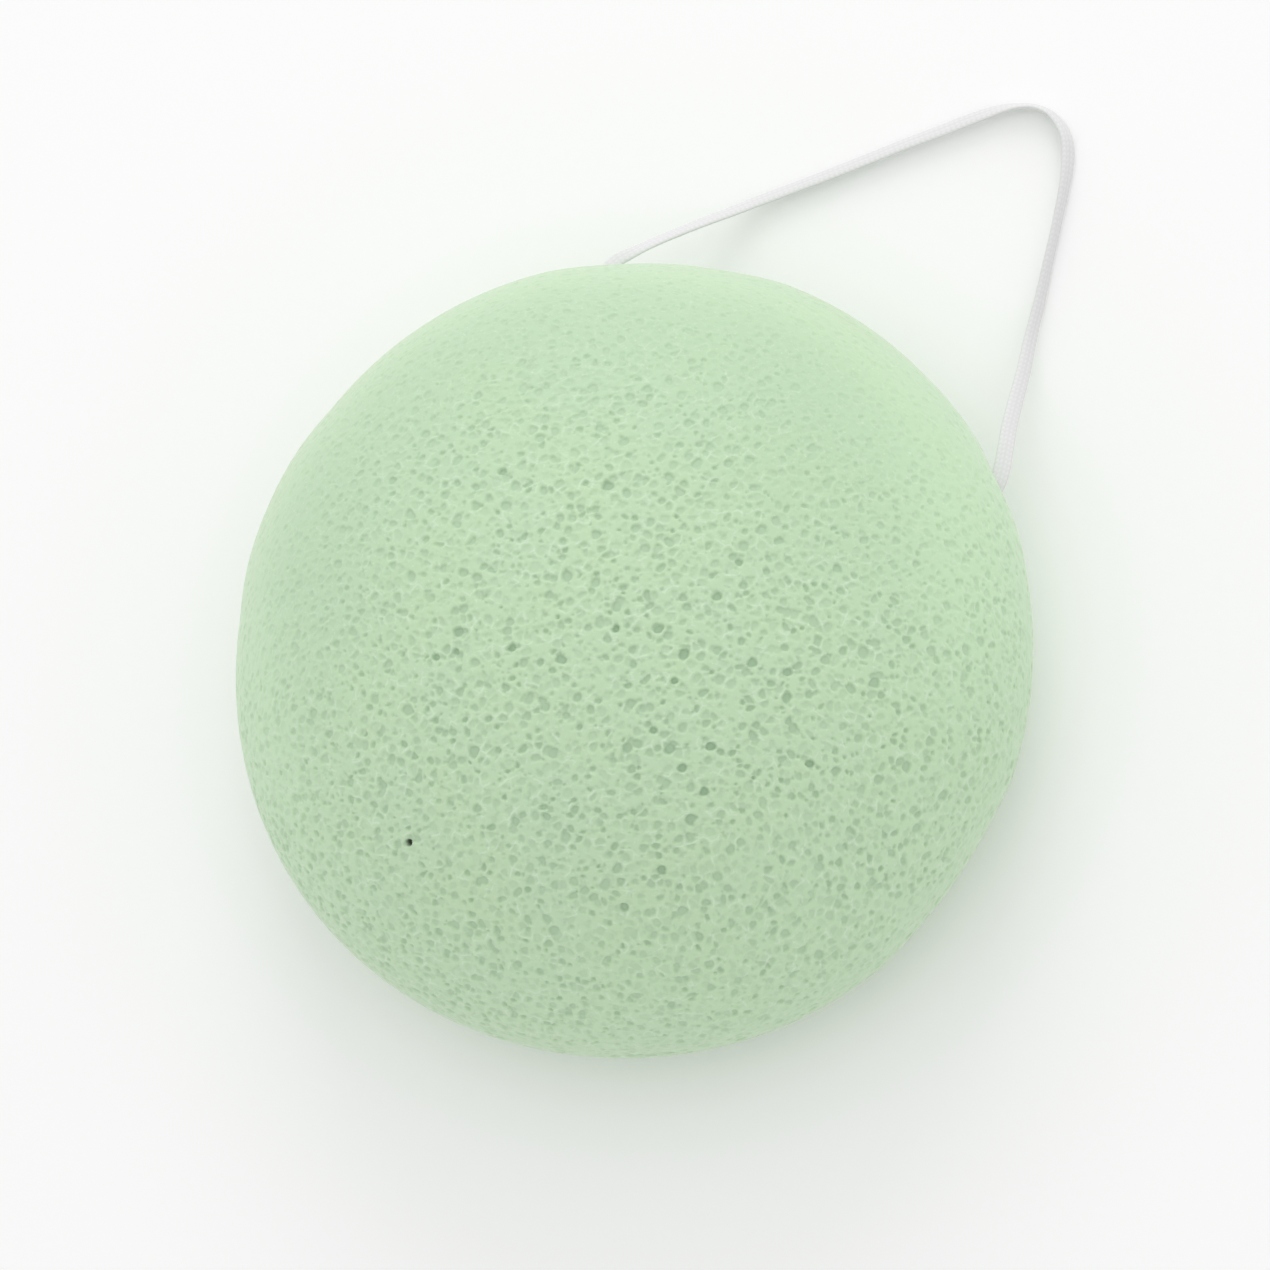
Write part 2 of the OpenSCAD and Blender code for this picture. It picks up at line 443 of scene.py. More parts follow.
@dataclass(frozen=True)
class CellLayer:
    """Foam cells that grew from scattered seeds until they met, each with a ball-shaped hole in it.

    Attributes:
        pitch: Mean distance between seeds, in millimetres, as are all lengths here.
        spread: How unlike each other the cells' sizes are, as a share of the pitch.
        seed: Seed for the layer's own random numbers.
        radius: A ball's least radius, and what the cell's first share adds to it.
        depth: A ball's least depth, and what the share in depth_column, raised to depth_power, adds.
        opens: Between which second shares a cell goes from shut to open, or None where all are open.
        scatter: How much of its cube a seed may be anywhere in, each way.
        wall_half: Half the thickness of a wall.
        edge: Where the edge of a ball starts and ends to bend in.
        rounding: How far from a corner between wall and ball the two blend.
        cut_widening: How much wider balls in space are, as the skin cuts most of them off centre.
    """

    pitch: float
    spread: float
    seed: int
    radius: tuple[float, float]
    depth: tuple[float, float]
    depth_column: int = 1
    depth_power: float = 2.0
    opens: tuple[float, float] | None = None
    scatter: float = 0.84
    wall_half: float = 0.02
    edge: tuple[float, float] = (-0.05, 0.14)
    rounding: float = 0.2
    cut_widening: float = 1.3

    def hit(self, points: np.ndarray) -> CellHit:
        """Finds each point's own cell and its nearest neighbour, with one seed in each cube of a lattice.

        The own seed has the least squared distance less its squared weight. The wall to the next one
        lies where both are equal: half the difference of the values, over the seeds' distance.

        Args:
            points: Points in millimetres, one row each, with two or three columns.

        Returns:
            The walls, middles and fates at those points.
        """
        cube = np.floor(points / self.pitch).astype(np.int32)
        low = cube.min(axis=0) - 1
        cube -= low
        count, size = points.shape
        shape = (*(cube.max(axis=0) + 2), size + 3)
        table = np.random.default_rng(self.seed).random(shape, dtype=np.float32)
        table[..., :size] = 0.5 + self.scatter * (table[..., :size] - 0.5)
        best = np.full((2, count), np.inf, np.float32)
        seeds = np.zeros((2, count, size), np.float32)
        fate = np.zeros((count, 2), np.float32)
        for step in np.ndindex((3,) * size):
            at = cube + np.array(step, np.int32) - 1
            row = table[tuple(at.T)]
            seed = (at + low + row[:, :size]).astype(np.float32) * np.float32(self.pitch)
            value = ((points - seed) ** 2).sum(axis=1) - (row[:, size] * self.spread * self.pitch) ** 2
            first = value < best[0]
            second = (value < best[1]) & ~first
            best[1] = np.where(first, best[0], np.where(second, value, best[1]))
            seeds[1] = np.where(first[:, None], seeds[0], np.where(second[:, None], seed, seeds[1]))
            best[0] = np.where(first, value, best[0])
            seeds[0] = np.where(first[:, None], seed, seeds[0])
            fate = np.where(first[:, None], row[:, size + 1 :], fate)
        apart = np.linalg.norm(seeds[1] - seeds[0], axis=1)
        return CellHit(wall=(best[1] - best[0]) / (2.0 * apart),
                       middle=np.linalg.norm(points - seeds[0], axis=1), fate=fate)

    def opened(self, hit: CellHit, in_space: bool) -> np.ndarray:
        """How far in an open ball-shaped hole each point is.

        That is the lesser of the wall's distance and of what is left of the ball's radius. Where the
        two are nearer each other than the rounding, the square of that over four roundings comes off.

        Args:
            hit: What the layer says at each point.
            in_space: Whether the cells lie in space, where the skin cuts through them.

        Returns:
            Shares from 0 outside to 1 well inside.
        """
        radius = (self.radius[0] + self.radius[1] * hit.fate[:, 0]) * (self.cut_widening if in_space else 1.0)
        wall, left = hit.wall - self.wall_half, radius - hit.middle
        near = np.maximum(self.rounding - np.abs(wall - left), 0.0)
        inside = smooth_step(*self.edge, np.minimum(wall, left) - near ** 2 / (4.0 * self.rounding))
        return inside if self.opens is None else inside * smooth_step(*self.opens, hit.fate[:, 1])

    def depths(self, hit: CellHit, opened: np.ndarray) -> np.ndarray:
        """How deep each point lies in its hole: the cell's own depth times how far in the point is."""
        share = hit.fate[:, self.depth_column] ** self.depth_power
        return (self.depth[0] + self.depth[1] * share) * opened


def soft_noise(points: np.ndarray, size: float, seed: int, waves: int = 12) -> np.ndarray:
    """Smooth noise from about -1 to 1: plane waves in random directions and phases.

    Args:
        points: Points, one row each.
        size: Rough wavelength, in the points' unit.
        seed: Seed for the waves.
        waves: How many waves are summed.

    Returns:
        One number per point.
    """
    rng = np.random.default_rng(seed)
    headings = unit_rows(rng.normal(size=(waves, points.shape[1])))
    headings *= rng.uniform(*NOISE_SPREAD, (waves, 1))
    phases = rng.uniform(0.0, 2.0 * math.pi, waves)
    total = np.zeros(len(points))
    for heading, phase in zip(headings, phases, strict=True):
        total += np.cos(points @ heading * (2.0 * math.pi / size) + phase)
    return total * math.sqrt(2.0 / waves) * NOISE_LEVEL


@dataclass(frozen=True)
class SkinZones:
    """Where the skin is closer than elsewhere, and where its colour gets painted shade and painted light.
    Each pair is where a step starts and ends.

    The steps run on facing, the cosine with the close side's heading, on how level the skin's normal
    lies, or on up, its rise. close is the skin over the mouths, and by rim_share all round the rim.
    Under the widest line it opens again. calm is its upper stretch, where painted shade darkens the skin that
    faces the lamp. pale is the skin down the other sides, lifted by painted light, and by far_share less so
    on the far one.
    """

    side: float = math.radians(134.0)
    close_facing: tuple[float, float] = (-0.6, 0.5)
    close_level: tuple[float, float] = (0.0, 0.85)
    close_up: tuple[float, float] = (-1.0, 0.1)
    rim_level: tuple[float, float] = (0.85, 1.0)
    rim_share: float = 0.3
    painted_lamp_side_shade_up: tuple[float, float] = (0.5, 0.9)
    painted_light_facing: tuple[float, float] = (0.75, -0.1)
    painted_light_up: tuple[float, float] = (0.95, 0.62)
    far_facing: tuple[float, float] = (-0.1, -0.8)
    far_share: float = 0.6

    def shares(self, normals: np.ndarray) -> dict[str, np.ndarray]:
        """How much each point is in each zone.

        Args:
            normals: Outward normals of the smooth skin.

        Returns:
            Shares from 0 to 1 for close, for calm, the painted shade on the lamp's side, and for pale, the
            painted light on the other sides.
        """
        up = normals[:, 2]
        level = np.hypot(normals[:, 0], normals[:, 1])
        towards = np.array([math.cos(self.side), math.sin(self.side)])
        facing = normals[:, :2] @ towards / np.maximum(level, HAIR)
        close = smooth_step(*self.close_facing, facing) * smooth_step(*self.close_level, level)
        close *= smooth_step(*self.close_up, up)
        close = np.maximum(close, self.rim_share * smooth_step(*self.rim_level, level))
        # Painted light on the sides away from the lamp, weaker on the far one; there the cells are shallower
        # too.
        pale = smooth_step(*self.painted_light_facing, facing) * smooth_step(*self.painted_light_up, up)
        pale *= 1.0 - self.far_share * smooth_step(*self.far_facing, facing)
        # The upper stretch of close is where painted shade goes on the lamp's side.
        return {"close": close, "painted_lamp_side_shade": close * smooth_step(*self.painted_lamp_side_shade_up, up), "pale": pale}


@dataclass
class SpongeBody:
    """The half ball of foam: a moulded dome with a rounded foot and a flat base, all open-celled.

    Attributes:
        rim_radius, rim_height: Radius and height of the widest line. The height is the foot's radius too.
        rise: Height of the dome above that line.
        tape: The tape that comes out of it on two sides.
        side_cells: Mesh cells along each edge of the cube that the skin is drawn on.
        profile_steps: Steps along each of the outline's three stretches.
        base_share: How much of its true area the base counts for in the mesh.
        map_margin: Margin round each of the map's six tiles, as a share of the tile.
        warp_size, warp_reach: The noise that bends the cells, in millimetres.
        patch_size, patch_rise, patch_wall: The patches with light walls between fine cells: the noise's
            wavelength in millimetres, its step, and the step of the wall's distance.
        flat_to_space: The skin's rise, from cells in space to cells in the unrolled skin.
        close_loss, pale_loss: Share of depth that close and pale skin take from the cells.
        deepest: The depth that the finish takes as 1, in millimetres.
        slit_calm: Share of a slit's depth at which no cell shows any more.
        seat_reach: How far along the tape a slit draws the skin in.
        dimple_share: How far down in its dimple the tape comes out.
        bulges: Azimuth in degrees, height in millimetres, and the cosine where each starts.
        speck, painted_shade_pinhole_edge: The one pinhole, its inside painted dark as shade, and its edge as
            shares of its width.
        mark_edge, mark_depth_share: How the larger pores' edges bend in, and how much of its depth each has.
        mark_wander, mark_wander_size: How far their outline wanders in millimetres, and how soon.
        mark_count, mark_middle, mark_spread, mark_limit: How many are strewn, round what place, how far,
            and how far from the top they may be, in millimetres.
        mark_width, mark_depth: The least and the most of each, in millimetres.
    """

    rim_radius: float
    rim_height: float
    rise: float
    tape: "HangingTape"
    side_cells: int = 376
    profile_steps: int = 3000
    base_share: float = 0.5
    map_margin: float = 0.02
    zones: SkinZones = SkinZones()
    fine: CellLayer = CellLayer(1.2, 0.2, seed=11, radius=(0.27, 0.26), depth=(0.09, 0.19))
    tiny: CellLayer = CellLayer(0.8, 0.2, seed=53, radius=(0.15, 0.15), depth=(0.05, 0.10))
    open: CellLayer = CellLayer(2.1, 0.2, seed=23, radius=(0.28, 0.27), depth=(0.12, 0.17), depth_power=1.0,
                                opens=(0.45, 0.6))
    pinhole: CellLayer = CellLayer(0.95, 0.3, seed=37, radius=(0.13, 0.12), depth=(0.10, 0.12),
                                   depth_column=0, depth_power=1.0, opens=(0.7, 0.8))
    warp_size: float = 1.9
    warp_reach: float = 0.1
    patch_size: float = 2.4
    patch_rise: tuple[float, float] = (0.1, 1.0)
    patch_wall: tuple[float, float] = (0.11, 0.02)
    flat_to_space: tuple[float, float] = (0.0, 0.3)
    close_loss: float = 0.72
    pale_loss: float = 0.15
    deepest: float = 1.1
    slit_room: float = 0.14 * MM
    slit_edge: tuple[float, float] = (0.1 * MM, -0.08 * MM)
    slit_calm: float = 0.25
    slit_depth: float = 1.3 * MM
    seat_reach: float = 4.0 * MM
    dimple_depth: float = 0.5 * MM
    dimple_share: float = 0.8
    dimple_reach: float = 2.6 * MM
    lump_height: float = 0.25 * MM
    lump_size: float = 60 * MM
    bulges: tuple[tuple[float, float, float], ...] = (
        (188.0, 0.45, 0.95), (115.0, -0.38, 0.95), (57.0, 0.2, 0.95), (-4.0, -0.45, 0.955))
    painted_shade_pinhole: Mark = Mark(-3.8, -27.5, 0.72, 0.55)
    painted_shade_pinhole_edge: tuple[float, float] = (0.62, 0.3)
    mark_edge: tuple[float, float] = (0.04, -0.16)
    mark_depth_share: float = 0.9
    mark_wander: float = 0.1
    mark_wander_size: float = 1.3 * MM
    mark_count: int = 28
    mark_middle: tuple[float, float] = (9.0, -3.0)
    mark_spread: float = 12.0
    mark_limit: float = 34.0
    mark_width: tuple[float, float] = (0.8, 1.2)
    mark_depth: tuple[float, float] = (0.39, 0.52)

    def profile(self) -> dict[str, np.ndarray]:
        """The half outline from the top down to the middle of the base, as the skin's own table.

        The dome is a quarter ellipse and the foot a quarter circle. polar is the angle on a ball at
        which the same share of skin lies above, so the mesh is even. The base gets a coarser one.

        Returns:
            Arrays polar, radius, height, normal_out and normal_up along the outline.
        """
        turn = np.linspace(0.0, math.pi / 2, self.profile_steps)
        foot = self.rim_height
        flat = self.rim_radius - foot
        in_share = np.linspace(1.0, 0.0, self.profile_steps)
        radius = np.concatenate([self.rim_radius * np.sin(turn), flat + foot * np.cos(turn), flat * in_share])
        height = np.concatenate([foot + self.rise * np.cos(turn), foot - foot * np.sin(turn), 0 * in_share])
        out = np.concatenate([self.rise * np.sin(turn), np.cos(turn), 0 * in_share])
        rise = np.concatenate([self.rim_radius * np.cos(turn), -np.sin(turn), -np.ones_like(in_share)])
        length = np.hypot(out, rise)
        band = (radius[1:] + radius[:-1]) / 2 * np.hypot(np.diff(radius), np.diff(height))
        band[2 * self.profile_steps :] *= self.base_share
        above = np.concatenate([[0.0], np.cumsum(band)])
        return {"polar": np.arccos(1.0 - 2.0 * above / above[-1]), "radius": radius, "height": height,
                "normal_out": out / length, "normal_up": rise / length}

    def ball_grid(self) -> tuple[np.ndarray, np.ndarray, np.ndarray]:
        """An even grid of quads on a ball: six square grids on a cube, welded and blown up.

        A lattice place runs from 0 to side_cells, and its direction is the tangent of an even angle
        along each side, so quads near the cube's corners aren't much smaller.

        Returns:
            Unit directions, quads, and a pair of map coordinates for each corner of each quad.
        """
        n = self.side_cells
        first, second = np.meshgrid(np.arange(n + 1), np.arange(n + 1), indexing="ij")
        keys, grids, maps = [], [], []
        lattice_weights = np.array([(n + 1) ** 2, n + 1, 1])
        for axis, far in [(a, f) for a in range(3) for f in (0, 1)]:
            lattice = np.empty((n + 1, n + 1, 3), np.int64)
            lattice[..., axis] = far * n
            lattice[..., (axis + 1) % 3] = first if far else second
            lattice[..., (axis + 2) % 3] = second if far else first
            keys.append((lattice @ lattice_weights).ravel())
            grids.append(len(grids) * (n + 1) ** 2 + np.arange((n + 1) ** 2).reshape(n + 1, n + 1))
            tile = np.stack([first, second], axis=-1) / n * (1.0 - 2.0 * self.map_margin) + self.map_margin
            maps.append((tile + [axis, far]) / [3, 2])
        found, welded = np.unique(np.concatenate(keys), return_inverse=True)
        places = np.stack([found // (n + 1) ** 2, found // (n + 1) % (n + 1), found % (n + 1)], axis=1)
        directions = unit_rows(np.tan(math.pi / 4 * (places / n * 2.0 - 1.0)))
        quads, corners = [], []
        for grid, tile in zip(grids, maps, strict=True):
            for source, into in ((grid, quads), (tile, corners)):
                into.append(np.stack([source[:-1, :-1], source[1:, :-1], source[1:, 1:], source[:-1, 1:]],
                                     axis=2).reshape((-1, 4) + source.shape[2:]))
        return directions, welded[np.concatenate(quads)], np.concatenate(corners).reshape(-1, 2)

    def smooth_skin(self, directions: np.ndarray) -> tuple[np.ndarray, np.ndarray]:
        """Puts the ball's directions on the sponge's outline, a little out of round as a real one is.

        Args:
            directions: Unit directions, one row each.

        Returns:
            Points on the skin and its outward normals.
        """
        table = self.profile()
        polar = np.arccos(np.clip(directions[:, 2], -1.0, 1.0))
        found = {k: np.interp(polar, table["polar"], v) for k, v in table.items() if k != "polar"}
        across = np.hypot(directions[:, 0], directions[:, 1])
        heading = directions[:, :2] / np.maximum(across, HAIR)[:, None]
        points = np.column_stack([heading * found["radius"][:, None], found["height"]])
        normals = np.column_stack([heading * found["normal_out"][:, None], found["normal_up"]])
        side = smooth_step(0.0, 1.0, found["normal_out"])
        lumps = self.lump_height * soft_noise(points, self.lump_size, seed=5)
        for azimuth, height, start in self.bulges:
            middle = np.array([math.cos(math.radians(azimuth)), math.sin(math.radians(azimuth))])
            lumps += height * MM * smooth_step(start, 1.0, heading @ middle)
        points[:, :2] += heading * (side * lumps)[:, None]
        return points, normals

    def unrolled(self, points: np.ndarray, directions: np.ndarray) -> np.ndarray:
        """The dome's skin laid flat: each point at its length of outline from the top, in millimetres."""
        table = self.profile()
        steps = np.hypot(np.diff(table["radius"]), np.diff(table["height"]))
        length = np.concatenate([[0.0], np.cumsum(steps)]) / MM
        gone = np.interp(np.arccos(np.clip(directions[:, 2], -1.0, 1.0)), table["polar"], length)
        return points[:, :2] / np.maximum(np.hypot(*points[:, :2].T), HAIR)[:, None] * gone[:, None]

    def cells(self, points: np.ndarray, directions: np.ndarray,
              normals: np.ndarray) -> tuple[np.ndarray, np.ndarray]:
        """How deep the skin is dented, and how much of it is wall, at each point.

        On the dome the cells lie in the unrolled skin, so each shows its full round. Below the widest
        line they lie in space, and the skin cuts through them. The two fade into each other.

        Args:
            points: Points on the smooth skin.
            directions: Their directions on the ball.
            normals: Their outward normals.

        Returns:
            Depths in millimetres, and shares of wall.
        """
        upper = smooth_step(*self.flat_to_space, normals[:, 2])
        depth, wall = np.zeros(len(points)), np.zeros(len(points))
        for share, place in ((upper, self.unrolled(points, directions)), (1.0 - upper, points / MM)):
            held = share > 0.0
            own, lit = self.layers(place[held])
            depth[held] += share[held] * own
            wall[held] += share[held] * lit
        uneven = self.mark_wander * soft_noise(points, self.mark_wander_size, seed=71)
        for mark in self.marks():
            away = np.linalg.norm(points / MM - self.on_dome(mark), axis=1) + uneven
            sunk = self.mark_depth_share * mark.depth
            depth = np.maximum(depth, sunk * smooth_step(*self.mark_edge, away - mark.width / 2))
        return depth, wall

    def layers(self, place: np.ndarray) -> tuple[np.ndarray, np.ndarray]:
        """The layers of cells on top of each other, of which the deepest counts.

        Fine and tiny cells are close and shallow, open ones wide, and pinholes narrow.

        Args:
            place: Places in millimetres, flat or in space.

        Returns:
            Depths in millimetres, and shares of wall.
        """
        columns = range(place.shape[1])
        warp = np.column_stack([soft_noise(place, self.warp_size, seed=41 + column) for column in columns])
        place = (place + self.warp_reach * warp).astype(np.float32)
        depth = np.zeros(len(place))
        wall = smooth_step(*self.patch_rise, soft_noise(place, self.patch_size, seed=61))
        for layer in (self.fine, self.tiny, self.open, self.pinhole):
            hit = layer.hit(place)
            opened = layer.opened(hit, in_space=len(columns) == 3)
            depth = np.maximum(depth, layer.depths(hit, opened))
            if layer is self.fine:
                wall = wall * smooth_step(*self.patch_wall, hit.wall)
            elif layer is self.open:
                wall = wall * (1.0 - opened)
        return depth, wall

    def marks(self) -> list[Mark]:
        """The larger pores, strewn round one place on the dome: fewer of them the farther away.

        Returns:
            Each with its own width and depth. Those that fall past the limit are left out.
        """
        rng = np.random.default_rng(83)
        places = rng.normal(self.mark_middle, self.mark_spread, (self.mark_count, 2))
        widths = rng.uniform(*self.mark_width, self.mark_count)
        depths = rng.uniform(*self.mark_depth, self.mark_count)
        return [Mark(x, y, width, depth) for (x, y), width, depth in zip(places, widths, depths, strict=True)
                if math.hypot(x, y) < self.mark_limit]

    def on_dome(self, mark: Mark) -> np.ndarray:
        """Where a mark lies on the dome, in millimetres: the ellipse's height over its place."""
        share = (mark.x**2 + mark.y**2) / (self.rim_radius / MM) ** 2
        height = (self.rim_height + self.rise * math.sqrt(1.0 - share)) / MM
        return np.array([mark.x, mark.y, height], np.float32)

    def painted_shade_pinhole_share(self, points: np.ndarray) -> np.ndarray:
        """How much of each point is in the one pinhole that the photograph shows, painted dark as shade
        inside.
        """
        away = np.linalg.norm(points / MM - self.on_dome(self.painted_shade_pinhole), axis=1)
        return smooth_step(*self.painted_shade_pinhole_edge, away / self.painted_shade_pinhole.width)

    def seats(self) -> list[Seat]:
        """Where the tape comes out of the skin on each side, and how it lies there.

        Under the widest line the foot stands out by the square root of its radius squared less the
        square of the missing height. The tape crosses it at the dimple's bottom, on its way out.

        Returns:
            The left seat and the right one.
        """
        line, turn = self.tape.loop_line()
        missing = np.clip(self.rim_height - line[:, 2], 0.0, self.rim_height)
        skin = self.rim_radius - self.rim_height + np.sqrt(self.rim_height**2 - missing**2)
        out = np.hypot(line[:, 0], line[:, 1]) > skin - self.dimple_share * self.dimple_depth
        stretch = round(self.slit_depth / self.tape.step)
        left, right = int(np.argmax(out)), len(out) - 1 - int(np.argmax(out[::-1]))
        found = []
        for index, inner in ((left, left - stretch), (right, right + stretch)):
            along = unit_rows(line[index] - line[inner])
            travel = along if inner < index else -along
            across, face = HangingTape.section_axes(travel[None], np.radians([turn[index]]))
            found.append(Seat(line[index], along, across[0], face[0]))
        return found

    def slits(self, points: np.ndarray) -> tuple[np.ndarray, np.ndarray, np.ndarray]:
        """How far the skin is drawn in at the mouths, straight along the tape.

        The distance is measured across the tape to a line as long as its width less its thickness.

        Args:
            points: Points on the smooth skin.

        Returns:
            The pull inwards, its share of the slit's depth, and the depth of the soft dimple round it.
        """
        pull = np.zeros(points.shape)
        share = np.zeros(len(points))
        dimple = np.zeros(len(points))
        half_line = (self.tape.width - self.tape.thickness) / 2
        reach = self.tape.thickness / 2 + self.slit_room
        for seat in self.seats():
            from_seat = points - seat.place
            level = from_seat @ seat.along
            near = np.abs(level) < self.seat_reach
            beside = np.maximum(np.abs(from_seat @ seat.across) - half_line, 0.0)
            away = np.hypot(beside, from_seat @ seat.face)
            drawn = near * smooth_step(*self.slit_edge, away - reach)
            pull -= drawn[:, None] * seat.along * self.slit_depth
            share += drawn
            dimple += self.dimple_depth * np.exp(-((np.hypot(away, level) / self.dimple_reach) ** 2))
        return pull, share, dimple

    def build(self) -> bpy.types.Object:
        """Builds the foam as one closed mesh.

        Returns:
            The foam piece, with its cell attributes and its own map.
        """
        directions, quads, corners = self.ball_grid()
        points, normals = self.smooth_skin(directions)
        shares = self.zones.shares(normals)
        depth, wall = self.cells(points, directions, normals)
        depth *= (1.0 - self.close_loss * shares["close"]) * (1.0 - self.pale_loss * shares["pale"])
        painted_shade_pinhole = self.painted_shade_pinhole_share(points)
        depth = np.maximum(depth, self.painted_shade_pinhole.depth * painted_shade_pinhole)
        pull, drawn, dimple = self.slits(points)
        depth *= 1.0 - smooth_step(0.0, self.slit_calm, drawn)
        dented = points - normals * (depth * MM + dimple)[:, None] + pull
        dented[:, 2] = np.maximum(dented[:, 2], 0.0)
        piece = mesh_piece("foam_half_ball", dented, [quads])
        # cell_depth counts the slits in full, so painted shade darkens them as deep pores.
        store(piece, "cell_depth", np.clip(depth / self.deepest + drawn, 0.0, 1.0))
        store(piece, "cell_wall", wall * (1.0 - shares["close"]))
        # These carry painted shade on the lamp's side, painted light on the other sides, and the pinhole's
        # painted shade.
        for name, values in (("painted_lamp_side_shade", shares["painted_lamp_side_shade"]), ("pale", shares["pale"]), ("painted_shade_pinhole", painted_shade_pinhole)):
            store(piece, name, values)
        layer = piece.data.uv_layers.new(name="OFBake")
        layer.uv.foreach_set("vector", corners.astype(np.float32).ravel())
        return piece

    def dress(self, piece: bpy.types.Object) -> None:
        """Gives the foam its finish and its place in the part."""
        piece.data.materials.append(KonjacFoam().material())
        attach(piece, "sponge")
        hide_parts("sponge_body")


@dataclass
class HangingTape:
    """The flat knitted tape: its free loop, its run inside the foam and the knot that closes it.

    Attributes:
        width, thickness: The tape's own.
        mouth_x: How far each mouth is from the middle.
        hinge_y, mouth_height: Where the line through both mouths lies.
        mouth_turn: The tape's turn at the mouths, in degrees.
        drawn_aside: How far left of its mouth the tape lies, at the left one and at the right one.
        bend_room: Where the tape starts and ends to follow the loop, inside and outside that line. Not used.
        joined: How far inside that line the loop's piece starts.
        lead_back, lead_outward: How far inside the mouth the tape is steered, and by what share outward.
        step: Distance between two rings of the mesh.
        wales: Rows of stitches across the tape.
        stitch_slant, stitch_round, stitch_mean: How far a stitch's legs lag behind its middle, how far
            down a wale's edge is, and the stitches' mean height, as shares.
        section_powers: How the section's cosine and sine are bent.
        knot_start, knot_steer, knot_soft: The angle where the knot's leads join its turns, the point
            in pitches that steers them, and how long they follow the turns' heading.
    """

    width: float
    thickness: float
    mouth_x: float
    hinge_y: float
    mouth_height: float
    mouth_turn: float = 18.0
    drawn_aside: tuple[float, float] = (0.45 * MM, 0.75 * MM)
    bend_room: tuple[float, float] = (1.0 * MM, 5.5 * MM)
    joined: float = 5.2 * MM
    lead_back: float = 1.9 * MM
    lead_outward: float = 0.4
    step: float = 0.1 * MM
    sides: int = 40
    wales: int = 4
    stitch_length: float = 0.55 * MM
    stitch_height: float = 0.03 * MM
    stitch_slant: float = 0.9
    stitch_round: float = 0.92
    stitch_mean: float = 0.62
    section_powers: tuple[float, float] = (0.7, 1.15)
    knot_strand: float = 0.9 * MM
    knot_size: float = 5.8 * MM
    knot_start: float = math.radians(24.0)
    knot_steer: tuple[float, float, float] = (-2.5, 0.2, 1.6)
    knot_soft: float = 0.45
    run_lead: float = 2.2 * MM
    run_gap: float = 0.35 * MM
    slit_clear: float = 0.3 * MM
    route_mm: tuple[tuple[float, float, float, float], ...] = (
        (-22.4, 1.9, 7.6, 34), (-21.6, 3.6, 6.7, 39), (-20.5, 5.9, 5.2, 40), (-19.2, 8.4, 3.6, 39),
        (-17.8, 10.8, 2.2, 37), (-16.3, 13.1, 1.3, 35), (-14, 16, 0.95, 34), (-11.3, 19.2, 0.9, 33),
        (-8.5, 22.6, 0.9, 33), (-5.9, 25.8, 0.9, 32), (-3.5, 28.6, 0.9, 30), (-1.6, 30.9, 0.9, 30),
        (-0.1, 32.6, 0.9, 36), (1, 33.7, 0.9, 49), (2.2, 34.6, 0.9, 63), (3.6, 35.3, 0.9, 69),
        (5.3, 35.5, 0.9, 67), (6.9, 35, 0.9, 58), (8.2, 34.1, 0.9, 53), (9.1, 32.9, 0.9, 52),
        (10, 31.2, 0.9, 57), (10.9, 29, 0.9, 67), (12.3, 25, 0.9, 72), (13.4, 21.7, 0.9, 70),
        (14.7, 18, 1, 62), (16, 14.3, 1.6, 53), (17.5, 10.8, 2.9, 45), (18.8, 7.6, 4.5, 38),
        (20.1, 4.6, 6.1, 33), (21.2, 2.4, 7.2, 26))

    def mouth(self, mouth: Mouth) -> np.ndarray:
        """Where the tape crosses the line between the mouths, drawn a little to the left in each slit."""
        aside = self.drawn_aside[mouth is Mouth.RIGHT]
        return np.array([mouth.value * self.mouth_x - aside, self.hinge_y, self.mouth_height])

    def route(self) -> np.ndarray:
        """The free loop's own points between the mouths, with the turn in degrees as a fourth column."""
        rows = np.array(self.route_mm)
        return np.column_stack([rows[:, :3] * MM + [0, self.hinge_y, 0], rows[:, 3]])

    def loop_line(self) -> tuple[np.ndarray, np.ndarray]:
        """The loop's centreline and how far the tape is turned on it, in degrees.

        Just inside each mouth the tape heads between the way it comes out and the way to the run, so
        it bends evenly in the slit.

        Returns:
            Points one step apart, and the turn at each.
        """
        ends = {}
        for mouth, row in ((Mouth.LEFT, self.route()[1]), (Mouth.RIGHT, self.route()[-2])):
            place, inner = self.mouth(mouth), self.run_line(mouth)[-1]
            outwards = (self.lead_outward * unit_rows(row[:3] - place)
                        + (1.0 - self.lead_outward) * unit_rows(place - inner))
            lead = place - self.lead_back * unit_rows(outwards)
            ends[mouth] = [np.append(inner, 0.0), np.append(lead, self.mouth_turn),
                           np.append(place, self.mouth_turn)]
        knots = np.vstack([*ends[Mouth.LEFT], self.route(), *ends[Mouth.RIGHT][::-1]])
        line = smooth_line(knots, self.step)
        return line[:, :3], line[:, 3]

    def run_line(self, mouth: Mouth) -> np.ndarray:
        """The centreline inside the foam: straight from the knot, then a quarter circle to the mouth."""
        room = self.knot_size / 2 + self.slit_clear
        half = room + self.run_lead
        bend = self.mouth_x - half
        end_y = self.hinge_y - self.run_gap
        turn = np.linspace(0.0, math.pi / 2, int(bend * math.pi / 2 / self.step))
        straight = np.linspace(room, half, int(self.run_lead / self.step), endpoint=False)
        x = np.concatenate([straight, half + bend * np.sin(turn)])
        y = np.concatenate([np.full(len(straight), end_y - bend), end_y - bend * np.cos(turn)])
        keep = y < self.hinge_y - self.joined
        return np.column_stack([mouth.value * x, y, np.full(len(x), self.mouth_height)])[keep]

